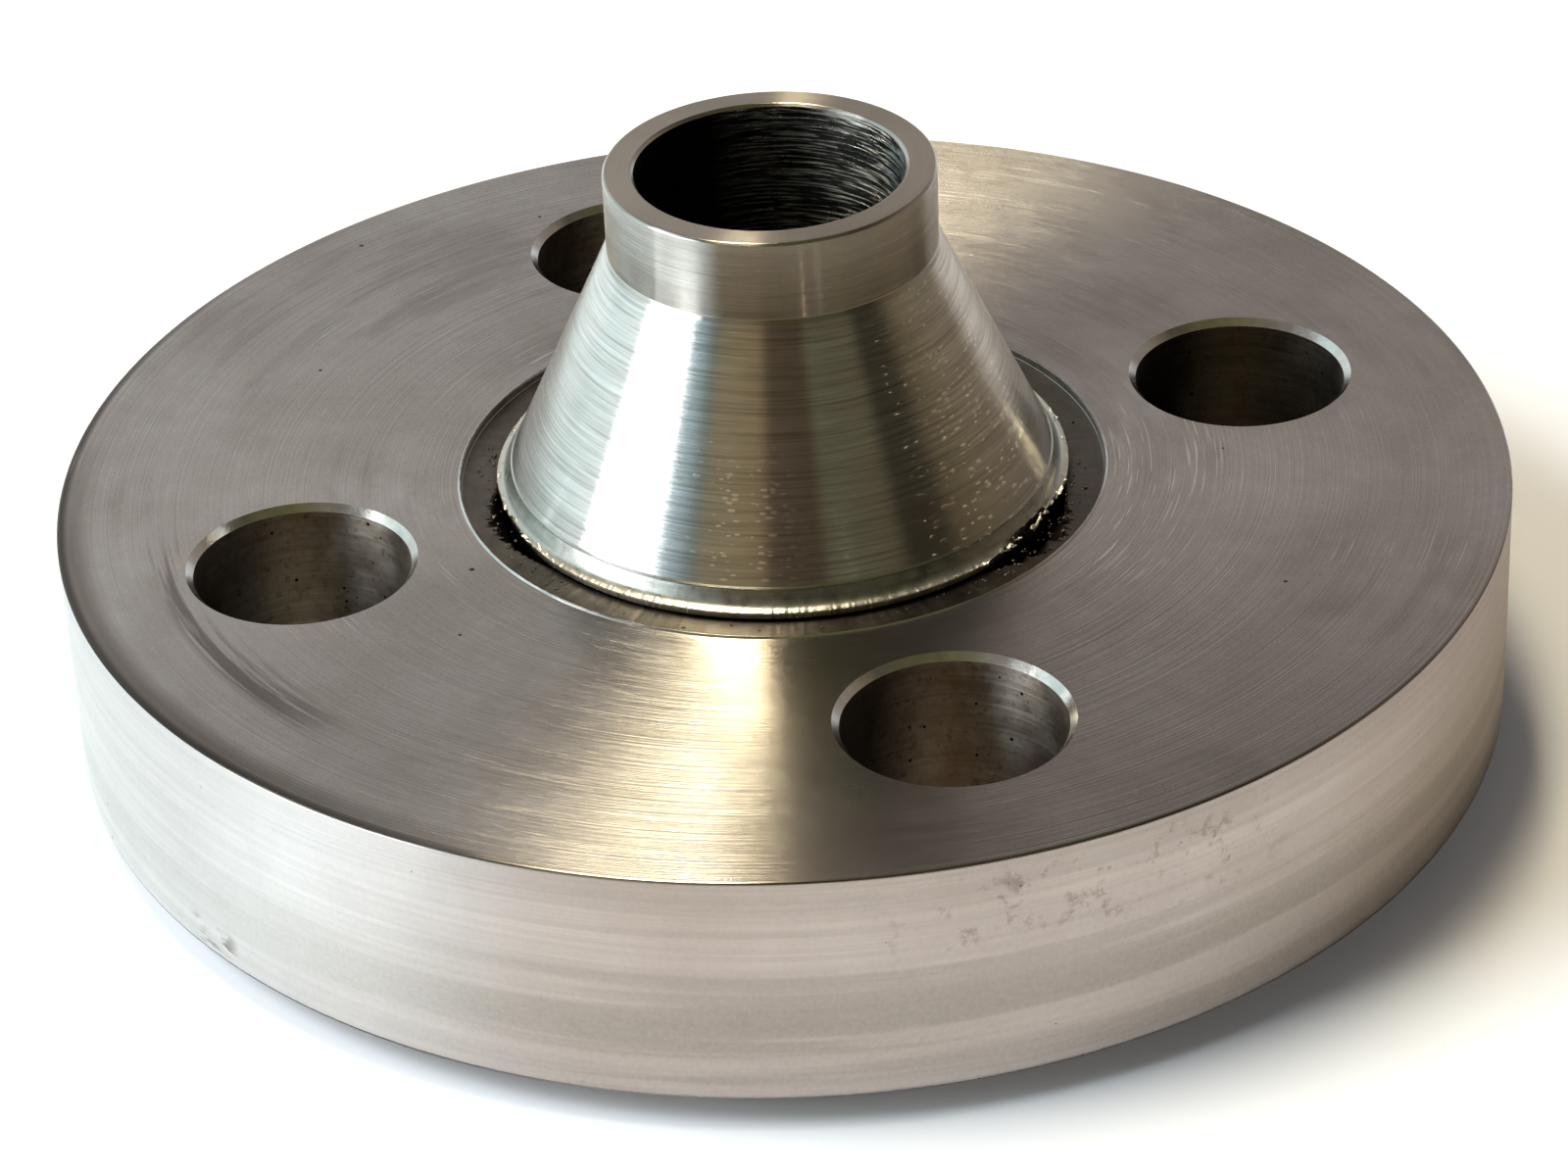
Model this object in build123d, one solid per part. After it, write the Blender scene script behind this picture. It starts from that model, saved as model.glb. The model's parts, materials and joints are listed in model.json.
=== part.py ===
"""Rotatable weld-neck pipe flange in two turned steel pieces.

A conical weld-neck hub carries a round collar at its foot.  A flange ring with four bolt holes
runs round the hub's cylindrical body with a wide clearance, and seats on the top of the collar,
which lies in a counterbore in the ring's underside.  A thin lip at the foot of the cone is rolled
out over a shallow recess in the ring's top face and keeps the ring on the hub.  The ring turns
freely, so that its bolt holes can be lined up with those of the flange that it is bolted to.

Frame: +Z is the bore axis, towards the weld end.  The origin is the centre of the hub's raised
sealing face, which is also the face that the flange stands on.  All sizes are in millimetres.
"""
from build123d import *
import os

# ---- hub, from the bore outwards ---------------------------------------------------------------
neck_bore = 17.3  # straight through the hub
neck_wall = 2.0  # pipe wall at the weld end
neck_edge_break = 0.15
bore_edge_break = 0.2  # at the weld end
face_bore_chamfer = 0.5  # where the bore opens in the sealing face
cone_head_step = 0.18  # the cone's head stands this much proud of the neck
cone_spread = 7.07  # growth of the cone's radius from its head to its foot
flare_width = 0.85  # hollow flare between the cone and the lip
flare_height = 0.75
lip_height = 0.25  # of the lip's edge above the ring's top face
lip_edge = 0.12  # thickness of the lip's edge
lip_overhang = 0.75  # the lip hangs over the body by this much
lip_undercut = 0.5  # height of the sloping underside that leads back to the body
collar_ledge = 4.5  # width of the collar outside the body, which the ring seats on
collar_edge_break = 0.4
seat_fillet = 1.0  # inside corner between the collar and the body

# ---- flange ring -------------------------------------------------------------------------------
ring_diameter = 95.0
ring_edge_break = 0.4  # on the rim and round the counterbore
body_clearance = 0.5  # radial, between the hub's body and the ring's bore
collar_clearance = 0.4  # radial, between the collar and the ring's counterbore
seat_relief = 0.4  # how much larger the ring's bore chamfer is than the hub's seat fillet
recess_width = 2.6  # shallow recess turned in the top face, measured out from the bore
recess_depth = 0.4
recess_edge_break = 0.15  # on both edges of the recess
bolt_circle = 65.0
bolt_count = 4
bolt_hole = 14.0
bolt_hole_chamfer = 0.45  # at both faces
first_bolt_angle = 45.0  # the holes straddle the X and Y axes

# ---- heights along the axis --------------------------------------------------------------------
raised_face = 2.0  # the sealing face stands out this far below the ring
collar_thickness = 6.0
ring_thickness = 16.0
hub_rise = 22.0  # from the ring's top face to the weld end
neck_length = 5.6  # straight part at the weld end

# ---- radii and heights that follow from these --------------------------------------------------
bore_radius = neck_bore / 2
neck_radius = bore_radius + neck_wall
cone_head_radius = neck_radius + cone_head_step
cone_foot_radius = cone_head_radius + cone_spread
lip_radius = cone_foot_radius + flare_width
body_radius = lip_radius - lip_overhang
collar_radius = body_radius + collar_ledge

ring_bore_radius = body_radius + body_clearance
recess_radius = ring_bore_radius + recess_width
counterbore_radius = collar_radius + collar_clearance

ring_bottom = raised_face
ring_top = ring_bottom + ring_thickness
recess_floor = ring_top - recess_depth
lip_top = ring_top + lip_height
cone_foot_height = lip_top + flare_height
hub_top = ring_top + hub_rise
neck_foot_height = hub_top - neck_length


def turned(outline):
    """The solid that a closed half section of (radius, height) lines makes round the Z axis."""
    return revolve(Plane.XZ * make_face(outline), Axis.Z, 360)


def weld_neck_hub():
    """Sealing face and collar, body, undercut lip, hollow flare, cone and weld neck, bored through."""
    foot_and_collar = Polyline(
        (bore_radius, face_bore_chamfer),
        (bore_radius + face_bore_chamfer, 0),
        (collar_radius - collar_edge_break, 0),
        (collar_radius, collar_edge_break),
        (collar_radius, collar_thickness - collar_edge_break),
        (collar_radius - collar_edge_break, collar_thickness),
        (body_radius + seat_fillet, collar_thickness),
    )
    inside_corner = JernArc(foot_and_collar @ 1, (-1, 0), seat_fillet, -90)
    body_and_lip = Polyline(
        inside_corner @ 1,
        (body_radius, lip_top - lip_edge - lip_undercut),
        (lip_radius, lip_top - lip_edge),
        (lip_radius, lip_top),
    )
    cone_foot = Vector(cone_foot_radius, cone_foot_height)
    cone_head = Vector(cone_head_radius, neck_foot_height)
    flare = TangentArc(cone_foot, body_and_lip @ 1, tangent=cone_foot - cone_head)
    cone_neck_and_bore = Polyline(
        cone_foot,
        cone_head,
        (neck_radius, neck_foot_height),
        (neck_radius, hub_top - neck_edge_break),
        (neck_radius - neck_edge_break, hub_top),
        (bore_radius + bore_edge_break, hub_top),
        (bore_radius, hub_top - bore_edge_break),
        foot_and_collar @ 0,
    )
    return turned([foot_and_collar, inside_corner, body_and_lip, flare, cone_neck_and_bore])


def ring_blank():
    """The ring before drilling: rim, recessed top face, bore, seat chamfer and counterbore."""
    rim = ring_diameter / 2
    bore_chamfer = seat_fillet + seat_relief
    outline = Polyline(
        (ring_bore_radius, collar_thickness + bore_chamfer),
        (ring_bore_radius, recess_floor - recess_edge_break),
        (ring_bore_radius + recess_edge_break, recess_floor),
        (recess_radius, recess_floor),
        (recess_radius, ring_top - recess_edge_break),
        (recess_radius + recess_edge_break, ring_top),
        (rim - ring_edge_break, ring_top),
        (rim, ring_top - ring_edge_break),
        (rim, ring_bottom + ring_edge_break),
        (rim - ring_edge_break, ring_bottom),
        (counterbore_radius + ring_edge_break, ring_bottom),
        (counterbore_radius, ring_bottom + ring_edge_break),
        (counterbore_radius, collar_thickness),
        (ring_bore_radius + bore_chamfer, collar_thickness),
        close=True,
    )
    return turned(outline)


def bolt_hole_tool():
    """One bolt hole to be cut, with its chamfers at both faces of the ring."""
    hole = bolt_hole / 2
    mouth = hole + bolt_hole_chamfer
    outline = Polyline(
        (0, ring_bottom),
        (mouth, ring_bottom),
        (hole, ring_bottom + bolt_hole_chamfer),
        (hole, ring_top - bolt_hole_chamfer),
        (mouth, ring_top),
        (0, ring_top),
        close=True,
    )
    return turned(outline)


def flange_ring():
    """The loose ring: the turned blank with its circle of bolt holes."""
    bolt_places = PolarLocations(bolt_circle / 2, bolt_count, start_angle=first_bolt_angle)
    return ring_blank() - [place * bolt_hole_tool() for place in bolt_places]


os.makedirs("parts", exist_ok=True)
for name, piece in (("weld_neck_hub", weld_neck_hub()), ("flange_ring", flange_ring())):
    piece.label = name
    export_step(piece, f"parts/{name}.step")
    print(f"{name}: {piece.volume:.1f} mm3, valid {piece.is_valid}")
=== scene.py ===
import json
import math

import bpy
from mathutils import Matrix, Vector


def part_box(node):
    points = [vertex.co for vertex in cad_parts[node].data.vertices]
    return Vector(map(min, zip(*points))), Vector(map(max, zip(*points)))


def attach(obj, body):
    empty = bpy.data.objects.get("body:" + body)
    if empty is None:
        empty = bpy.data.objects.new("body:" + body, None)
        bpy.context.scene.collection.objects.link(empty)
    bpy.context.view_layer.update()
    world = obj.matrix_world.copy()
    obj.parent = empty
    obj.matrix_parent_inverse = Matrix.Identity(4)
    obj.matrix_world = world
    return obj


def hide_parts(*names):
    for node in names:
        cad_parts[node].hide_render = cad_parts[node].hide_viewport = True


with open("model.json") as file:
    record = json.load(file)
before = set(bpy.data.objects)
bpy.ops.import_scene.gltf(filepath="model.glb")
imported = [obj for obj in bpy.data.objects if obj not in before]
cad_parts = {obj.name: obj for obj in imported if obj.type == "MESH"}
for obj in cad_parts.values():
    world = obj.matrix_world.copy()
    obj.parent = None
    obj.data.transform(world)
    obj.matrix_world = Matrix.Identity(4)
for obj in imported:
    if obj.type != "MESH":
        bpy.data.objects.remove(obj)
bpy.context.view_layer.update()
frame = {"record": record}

mm = 0.001  # sections and sizes are written in millimetres, and meshes are made in metres

# ---- Flange ring -------------------------------------------------------------------------------
# The outer ring of the flange: a thick steel disc, turned all over, with a shallow recess round
# its bore and four drilled bolt holes.  It turns on the hub's collar, below the hub's rolled lip.

ring_low, ring_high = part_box("flange_ring")
ring_radius = ring_high.x / mm
ring_bottom = ring_low.z / mm
ring_top = ring_high.z / mm
rim_chamfer = 0.4  # at the lower edge of the rim
rim_break = 0.12  # the upper edge is left sharper than that
recess_radius = 21.1
recess_floor = ring_top - 0.4
recess_break = 0.15  # where the recess runs into the ring's bore
recess_bevel = 0.26  # across the raised outer edge of the recess
recess_burr = 0.14  # how far the tool has pushed that edge up
ring_bore_radius = 18.5
seat_height = 6.0  # where the ring rests on the hub's collar
seat_chamfer = 1.4
counterbore_radius = 22.9
mounts = {mount["name"]: mount for mount in frame["record"]["mounts"]}
bolt_sizes = mounts["bolt_holes"]["dims"]
bolt_circle_radius = bolt_sizes["pcd_mm"] / 2
bolt_hole_radius = bolt_sizes["hole_r_mm"]
bolt_count = bolt_sizes["count"]
bolt_chamfer = 0.45
first_bolt_angle = math.radians(45)
bite_angles = (-3, -134)  # in degrees: where the ring's bore and the hub's lip are broken most
shaded_wall_way = (0.99, 0.14, 0.0)  # the walls of the holes that face this way get the most painted shade
ring_steps = 960  # facets round the ring
hole_steps = 128
cut_margin = 1.0  # the hole cutter runs this far past both faces
near = 0.02  # how close to an edge the finish changes


def rounded(corners, steps=5, support=0.04):
    """Corners (radius, height, rounding), clockwise, as a closed outline of points.

    Each rounding becomes an arc with a support point just outside both of its ends.
    """
    outline = []
    for before, corner, after in zip(corners[-1:] + corners[:-1], corners, corners[1:] + corners[:1]):
        here = Vector(corner[:2])
        rounding = corner[2]
        if rounding == 0:
            outline.append(here)
            continue
        back = (Vector(before[:2]) - here).normalized()
        onward = (Vector(after[:2]) - here).normalized()
        half = back.angle(onward) / 2
        reach = rounding / math.tan(half)
        centre = here + (back + onward).normalized() * (rounding / math.sin(half))
        first = here + back * reach - centre
        last = here + onward * reach - centre
        turn = math.remainder(math.atan2(last.y, last.x) - math.atan2(first.y, first.x), math.tau)
        outline.append(here + back * (reach + support))
        for step in range(steps + 1):
            angle = turn * step / steps
            outline.append(centre + Matrix.Rotation(angle, 2) @ first)
        outline.append(here + onward * (reach + support))
    return outline


def section_mesh(name, outline, torn=None):
    """A closed half section in the XZ plane, with a "torn" weight for the points that are ragged."""
    mesh = bpy.data.meshes.new(name)
    count = len(outline)
    edges = [(index, (index + 1) % count) for index in range(count)]
    mesh.from_pydata([(radius * mm, 0, height * mm) for radius, height in outline], edges, [])
    weight = mesh.attributes.new("torn", "FLOAT", "POINT")
    for index, point in enumerate(outline):
        weight.data[index].value = torn(*point) if torn else 0.0
    return mesh


def node(tree, kind, inputs=None, **choices):
    """A new node with its choices and inputs set; an input given as an output socket is joined."""
    made = tree.nodes.new(kind)
    for choice, value in choices.items():
        setattr(made, choice, value)
    for key, value in (inputs or {}).items():
        if isinstance(value, bpy.types.NodeSocket):
            tree.links.new(value, made.inputs[key])
        else:
            made.inputs[key].default_value = value
    return made


def calc(tree, operation, first, second=0.0, third=0.0, clamp=False):
    """The output of one Math node."""
    inputs = {0: first, 1: second, 2: third}
    return node(tree, "ShaderNodeMath", inputs, operation=operation, use_clamp=clamp).outputs[0]


def step(tree, value, low, high):
    """0 below low, 1 above high and smooth between."""
    inputs = {0: value, 1: low, 2: high}
    return node(tree, "ShaderNodeMapRange", inputs, interpolation_type="SMOOTHSTEP").outputs[0]


def vector(tree, x=0.0, y=0.0, z=0.0):
    """One vector out of three numbers."""
    return node(tree, "ShaderNodeCombineXYZ", {0: x, 1: y, 2: z}).outputs[0]


def vector_calc(tree, operation, first, second=None):
    """The output of one Vector Math node, which is a number for a length or a dot product."""
    inputs = {0: first}
    if second is not None:
        inputs["Scale" if operation == "SCALE" else 1] = second
    made = node(tree, "ShaderNodeVectorMath", inputs, operation=operation)
    return made.outputs["Value" if operation in ("LENGTH", "DOT_PRODUCT") else "Vector"]


def new_tree(name, inputs):
    """An empty Geometry Nodes tree with a geometry in and out and the named inputs."""
    tree = bpy.data.node_groups.new(name, "GeometryNodeTree")
    tree.interface.new_socket("Geometry", in_out="OUTPUT", socket_type="NodeSocketGeometry")
    tree.interface.new_socket("Geometry", in_out="INPUT", socket_type="NodeSocketGeometry")
    for label, kind in inputs.items():
        tree.interface.new_socket(label, in_out="INPUT", socket_type="NodeSocket" + kind)
    return tree, tree.nodes.new("NodeGroupInput").outputs


def finish_tree(tree, geometry, material):
    """Ends a tree: smooth faces with creases at real corners, instances made real, a material."""
    angle = node(tree, "GeometryNodeInputMeshEdgeAngle").outputs["Unsigned Angle"]
    crease = calc(tree, "GREATER_THAN", angle, math.radians(22))
    real = node(tree, "GeometryNodeRealizeInstances", {"Geometry": geometry})
    smooth = node(tree, "GeometryNodeSetShadeSmooth", {"Geometry": real.outputs[0]})
    creased = node(
        tree, "GeometryNodeStoreNamedAttribute",
        {"Geometry": smooth.outputs[0], "Name": "sharp_edge", "Value": crease},
        data_type="BOOLEAN", domain="EDGE",
    )
    painted = node(
        tree, "GeometryNodeSetMaterial", {"Geometry": creased.outputs[0], "Material": material}
    )
    tree.links.new(painted.outputs[0], tree.nodes.new("NodeGroupOutput").inputs[0])


def made_by(tree, name, mesh, values):
    """A plain mesh object: what the tree makes of the mesh with these values."""
    piece = bpy.data.objects.new(name, mesh)
    bpy.context.scene.collection.objects.link(piece)
    modifier = piece.modifiers.new("making", "NODES")
    modifier.node_group = tree
    for item in tree.interface.items_tree:
        if item.in_out == "INPUT" and item.name in values:
            modifier[item.identifier] = values[item.name]
    evaluated = piece.evaluated_get(bpy.context.evaluated_depsgraph_get())
    plain = bpy.data.meshes.new_from_object(evaluated)
    piece.modifiers.remove(modifier)
    piece.data = plain
    plain.name = name
    return piece


def lathe_tree(material):
    """Turns a half section round the Z axis.

    Points with a torn weight wander in and out, and where the weight is above 0 the two bites pull
    them along the radius.
    """
    tree, given = new_tree(
        "turn_on_lathe",
        {
            "Steps round": "Int", "Tear depth": "Float", "Tears round": "Float", "Seed": "Float",
            "Bite 1 angle": "Float", "Bite 1 half width": "Float", "Bite 1 depth": "Float",
            "Bite 2 angle": "Float", "Bite 2 half width": "Float", "Bite 2 depth": "Float",
        },
    )
    count = node(tree, "GeometryNodeAttributeDomainSize", {"Geometry": given["Geometry"]}).outputs[0]
    columns = calc(tree, "ADD", given["Steps round"], 1)
    rows = calc(tree, "ADD", count, 1)
    grid = node(tree, "GeometryNodeMeshGrid", {"Vertices X": rows, "Vertices Y": columns})
    index = node(tree, "GeometryNodeInputIndex").outputs[0]
    row = calc(tree, "MODULO", calc(tree, "FLOOR", calc(tree, "DIVIDE", index, columns)), count)
    column = calc(tree, "MODULO", calc(tree, "MODULO", index, columns), given["Steps round"])
    angle = calc(tree, "DIVIDE", calc(tree, "MULTIPLY", column, math.tau), given["Steps round"])

    def of_section(value, **choices):
        inputs = {"Geometry": given["Geometry"], "Value": value, "Index": row}
        return node(tree, "GeometryNodeSampleIndex", inputs, **choices).outputs[0]

    position = node(tree, "GeometryNodeInputPosition").outputs[0]
    place = of_section(position, data_type="FLOAT_VECTOR")
    torn = of_section(node(tree, "GeometryNodeInputNamedAttribute", {"Name": "torn"}).outputs[0])
    on_circle = vector(
        tree,
        calc(tree, "MULTIPLY", calc(tree, "COSINE", angle), given["Tears round"]),
        calc(tree, "MULTIPLY", calc(tree, "SINE", angle), given["Tears round"]),
        given["Seed"],
    )
    wander = node(
        tree, "ShaderNodeTexNoise",
        {"Vector": on_circle, "Scale": 1.0, "Detail": 6.0, "Roughness": 0.65},
        noise_dimensions="3D",
    )
    shift = vector_calc(tree, "SUBTRACT", wander.outputs["Color"], (0.5, 0.5, 0.5))
    depth = calc(tree, "MULTIPLY", torn, given["Tear depth"])
    ragged = vector_calc(tree, "MULTIPLY", shift, vector(tree, x=depth, z=depth))
    moved = vector_calc(tree, "ADD", place, ragged)
    uneven = calc(tree, "MULTIPLY_ADD", wander.outputs["Fac"], 2.4, -0.2)  # 1 for middling noise
    bitten = calc(tree, "MAXIMUM", torn, 0.0)
    for bite in ("Bite 1", "Bite 2"):
        across = calc(tree, "SUBTRACT", angle, given[bite + " angle"])
        away = calc(tree, "ARCCOSINE", calc(tree, "COSINE", across))
        close = calc(tree, "SUBTRACT", 1.0, step(tree, away, 0.0, given[bite + " half width"]))
        pull = calc(tree, "MULTIPLY", calc(tree, "MULTIPLY", close, uneven), given[bite + " depth"])
        pulled = vector(tree, x=calc(tree, "MULTIPLY", pull, bitten))
        moved = vector_calc(tree, "ADD", moved, pulled)
    turned = node(
        tree, "ShaderNodeVectorRotate", {"Vector": moved, "Angle": angle}, rotation_type="Z_AXIS"
    ).outputs[0]
    placed = node(
        tree, "GeometryNodeSetPosition", {"Geometry": grid.outputs["Mesh"], "Position": turned}
    )
    closed = node(
        tree, "GeometryNodeMergeByDistance", {"Geometry": placed.outputs[0], "Distance": 1e-7}
    )
    finish_tree(tree, closed.outputs[0], material)
    return tree


def drill_tree(material):
    """Drills a circle of equal holes with the cutter that it is given."""
    tree, given = new_tree(
        "drill_bolt_holes",
        {"Cutter": "Object", "Bolt circle radius": "Float", "Holes": "Int", "First angle": "Float"},
    )
    circle = node(
        tree, "GeometryNodeMeshCircle",
        {"Vertices": given["Holes"], "Radius": given["Bolt circle radius"]},
    )
    turn = vector(tree, z=given["First angle"])
    places = node(
        tree, "GeometryNodeTransform", {"Geometry": circle.outputs[0], "Rotation": turn}
    )
    cutter = node(tree, "GeometryNodeObjectInfo", {"Object": given["Cutter"]}).outputs["Geometry"]
    cutters = node(
        tree, "GeometryNodeInstanceOnPoints", {"Points": places.outputs[0], "Instance": cutter}
    )
    real = node(tree, "GeometryNodeRealizeInstances", {"Geometry": cutters.outputs[0]})
    drilled = node(
        tree, "GeometryNodeMeshBoolean",
        {"Mesh 1": given["Geometry"], "Mesh 2": real.outputs[0]},
        operation="DIFFERENCE", solver="EXACT",
    )
    finish_tree(tree, drilled.outputs[0], material)
    return tree


def crumb_tree(material):
    """Scatters small broken crumbs, lying along the arc, from one angle to another round the Z axis."""
    tree, given = new_tree(
        "scatter_crumbs",
        {
            "Crumbs": "Int", "From angle": "Float", "To angle": "Float", "Radius": "Float",
            "Radius spread": "Float", "Height": "Float", "Height spread": "Float",
            "Smallest": "Vector", "Largest": "Vector", "Roughened": "Float", "Seed": "Int",
        },
    )

    def chance(low, high, offset, **choices):
        seed = calc(tree, "ADD", given["Seed"], offset)
        keys = (0, 1, 8) if choices else (2, 3, 8)  # the inputs for vectors or for numbers
        made = node(tree, "FunctionNodeRandomValue", dict(zip(keys, (low, high, seed))), **choices)
        return made.outputs[0 if choices else 1]

    angle = chance(given["From angle"], given["To angle"], 0)
    off_radius = calc(tree, "MULTIPLY", chance(-1.0, 1.0, 1), given["Radius spread"])
    off_height = calc(tree, "MULTIPLY", chance(-1.0, 1.0, 2), given["Height spread"])
    place = vector(
        tree,
        x=calc(tree, "ADD", given["Radius"], off_radius),
        z=calc(tree, "ADD", given["Height"], off_height),
    )
    place = node(
        tree, "ShaderNodeVectorRotate", {"Vector": place, "Angle": angle}, rotation_type="Z_AXIS"
    ).outputs[0]
    points = node(tree, "GeometryNodePoints", {"Count": given["Crumbs"], "Position": place})
    tipped, rolled, askew = chance(-0.5, 0.5, 3), chance(-0.4, 0.4, 4), chance(-0.3, 0.3, 5)
    turn = vector(tree, tipped, rolled, calc(tree, "ADD", angle, askew))
    size = chance(given["Smallest"], given["Largest"], 6, data_type="FLOAT_VECTOR")
    crumb = node(tree, "GeometryNodeMeshIcoSphere", {"Radius": 0.5, "Subdivisions": 3}).outputs[0]
    crumbs = node(
        tree, "GeometryNodeInstanceOnPoints",
        {"Points": points.outputs[0], "Instance": crumb, "Rotation": turn, "Scale": size},
    )
    real = node(tree, "GeometryNodeRealizeInstances", {"Geometry": crumbs.outputs[0]})
    noise = node(tree, "ShaderNodeTexNoise", {"Scale": 1 / (0.14 * mm), "Detail": 2.0})
    shift = vector_calc(tree, "SUBTRACT", noise.outputs["Color"], (0.5, 0.5, 0.5))
    shift = vector_calc(tree, "SCALE", shift, given["Roughened"])
    broken = node(tree, "GeometryNodeSetPosition", {"Geometry": real.outputs[0], "Offset": shift})
    finish_tree(tree, broken.outputs[0], material)
    return tree


def tint(tree, share, first, second):
    """The first colour where share is 0, and the second where it is 1."""
    first, second = (
        shade if isinstance(shade, bpy.types.NodeSocket) else (*shade, 1.0)
        for shade in (first, second)
    )
    return node(tree, "ShaderNodeMix", {0: share, 6: first, 7: second}, data_type="RGBA").outputs[2]


class Steel:
    """The finish of a turned piece: its metal, the colour so far, and patterns for its marks.

    Sizes are in mm, and bearings in degrees round the Z axis.  A pattern runs from 0 to 1.
    """

    def __init__(self, name):
        self.material = bpy.data.materials.new(name)
        self.material.use_nodes = True
        self.tree = tree = self.material.node_tree
        self.shader = tree.nodes["Principled BSDF"]
        self.shader.inputs["Metallic"].default_value = 1.0
        self.place = node(tree, "ShaderNodeTexCoord").outputs["Object"]
        x, y, z = node(tree, "ShaderNodeSeparateXYZ", {0: self.place}).outputs
        flat = vector(tree, x, y)
        self.radius = calc(tree, "DIVIDE", vector_calc(tree, "LENGTH", flat), mm)
        self.height = calc(tree, "DIVIDE", z, mm)
        round_way = vector_calc(tree, "NORMALIZE", flat)
        self.way_x, self.way_y, _ = node(tree, "ShaderNodeSeparateXYZ", {0: round_way}).outputs

    def product(self, first, *others):
        """All the patterns multiplied together."""
        for other in others:
            first = calc(self.tree, "MULTIPLY", first, other)
        return first

    def either(self, first, second):
        """The stronger of two patterns."""
        return calc(self.tree, "MAXIMUM", first, second)

    def above(self, value, low, high):
        """1 where a value is over high, and 0 under low."""
        return step(self.tree, value, low, high)

    def below(self, value, low, high):
        """1 where a value is under low, and 0 over high."""
        return calc(self.tree, "SUBTRACT", 1.0, step(self.tree, value, low, high))

    def between(self, value, low, high, soft):
        """1 where a value lies from low to high, with soft ends."""
        rise = self.above(value, low - soft, low + soft)
        fall = self.above(value, high - soft, high + soft)
        return calc(self.tree, "SUBTRACT", rise, fall)

    def facing(self, bearing, half_width):
        """1 on the spoke at that bearing, and 0 beyond half_width degrees from it."""
        aim = math.radians(bearing)
        along = calc(
            self.tree, "MULTIPLY_ADD", self.way_x, math.cos(aim),
            calc(self.tree, "MULTIPLY", self.way_y, math.sin(aim)),
        )
        reach = math.radians(half_width)
        return self.above(along, math.cos(reach), math.cos(reach * 0.4))

    def spread(self, noise, low, high, reach, centre=0.5):
        """A noise value from centre - reach to centre + reach, carried to low and high."""
        inputs = {0: noise, 1: centre - reach, 2: centre + reach, 3: low, 4: high}
        return node(self.tree, "ShaderNodeMapRange", inputs).outputs[0]

    def noise(self, place, scale, detail, roughness):
        inputs = {"Vector": place, "Scale": scale, "Detail": detail, "Roughness": roughness}
        return node(self.tree, "ShaderNodeTexNoise", inputs).outputs["Fac"]

    def dots(self, place, scale, widest, share):
        """Dots in that share of the cells, up to that many cells in radius."""
        cells = node(self.tree, "ShaderNodeTexVoronoi", {"Vector": place, "Scale": scale})
        drawn, width, _ = node(self.tree, "ShaderNodeSeparateColor", {0: cells.outputs["Color"]}).outputs
        dot = calc(self.tree, "LESS_THAN", cells.outputs["Distance"], self.product(width, widest))
        return self.product(dot, calc(self.tree, "LESS_THAN", drawn, share))

    def drawn_round(self, along, pitch, sweep, seed):
        """Places drawn out round the axis: more sweep makes shorter arcs."""
        return vector(
            self.tree,
            calc(self.tree, "MULTIPLY_ADD", self.way_x, sweep, seed),
            self.product(self.way_y, sweep),
            calc(self.tree, "DIVIDE", along, pitch),
        )

    def shifted(self, seed):
        return vector_calc(self.tree, "ADD", self.place, (seed * mm, seed * mm * 2, seed * mm * 3))

    def marks(self, along, pitch, sweep, seed, detail=2.0, roughness=0.5):
        """Noise for tool marks that run round the axis."""
        return self.noise(self.drawn_round(along, pitch, sweep, seed), 1.0, detail, roughness)

    def dashes(self, along, pitch, sweep, share, seed):
        """Scattered short strokes round the axis, in that share of the cells."""
        return self.dots(self.drawn_round(along, pitch, sweep, seed), 1.0, 0.42, share)

    def blotches(self, size, seed, detail=3.0, roughness=0.5):
        """Noise that is even in all directions."""
        return self.noise(self.shifted(seed), 1 / (size * mm), detail, roughness)

    def specks(self, spacing, radius, share, seed):
        """Scattered dots up to that radius, in that share of the cells."""
        return self.dots(self.shifted(seed), 1 / (spacing * mm), radius / spacing, share)

    def ground(self, noise, reach, dark, light):
        """Starts the colour, from dark to light with the noise."""
        self.base = tint(self.tree, self.spread(noise, 0, 1, reach), dark, light)

    def streak(self, noise, share, reach, shade, centre=0.5):
        """Mixes in up to that share of a shade with the noise."""
        self.base = tint(self.tree, self.spread(noise, 0, share, reach, centre), self.base, shade)

    def stain(self, where, shade, strength=None):
        """Mixes in a shade where a pattern is 1."""
        share = where if strength is None else self.product(where, strength)
        self.base = tint(self.tree, share, self.base, shade)

    def brush(self, anisotropy, drilled):
        """Stretches the gloss across the tool marks, which run round the part's or the hole's axis."""
        if drilled:
            wall = node(self.tree, "ShaderNodeNewGeometry").outputs["True Normal"]
            tangent = vector_calc(self.tree, "CROSS_PRODUCT", wall, (0, 0, 1))
        else:
            tangent = node(
                self.tree, "ShaderNodeTangent", direction_type="RADIAL", axis="Z"
            ).outputs[0]
        self.tree.links.new(tangent, self.shader.inputs["Tangent"])
        self.shader.inputs["Anisotropic"].default_value = anisotropy
        self.shader.inputs["Anisotropic Rotation"].default_value = 0.25

    def finished(self, rough, *layers, anisotropy=0.0, drilled=False):
        """The finished material; each layer of height is a pattern and its depth."""
        total = 0.0
        for height, depth in layers:
            total = calc(self.tree, "MULTIPLY_ADD", height, depth * mm, total)
        bump = node(self.tree, "ShaderNodeBump", {"Height": total, "Distance": 1.0}).outputs[0]
        for key, value in (("Base Color", self.base), ("Roughness", rough), ("Normal", bump)):
            self.tree.links.new(value, self.shader.inputs[key])
        if anisotropy:
            self.brush(anisotropy, drilled)
        return self.material


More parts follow.
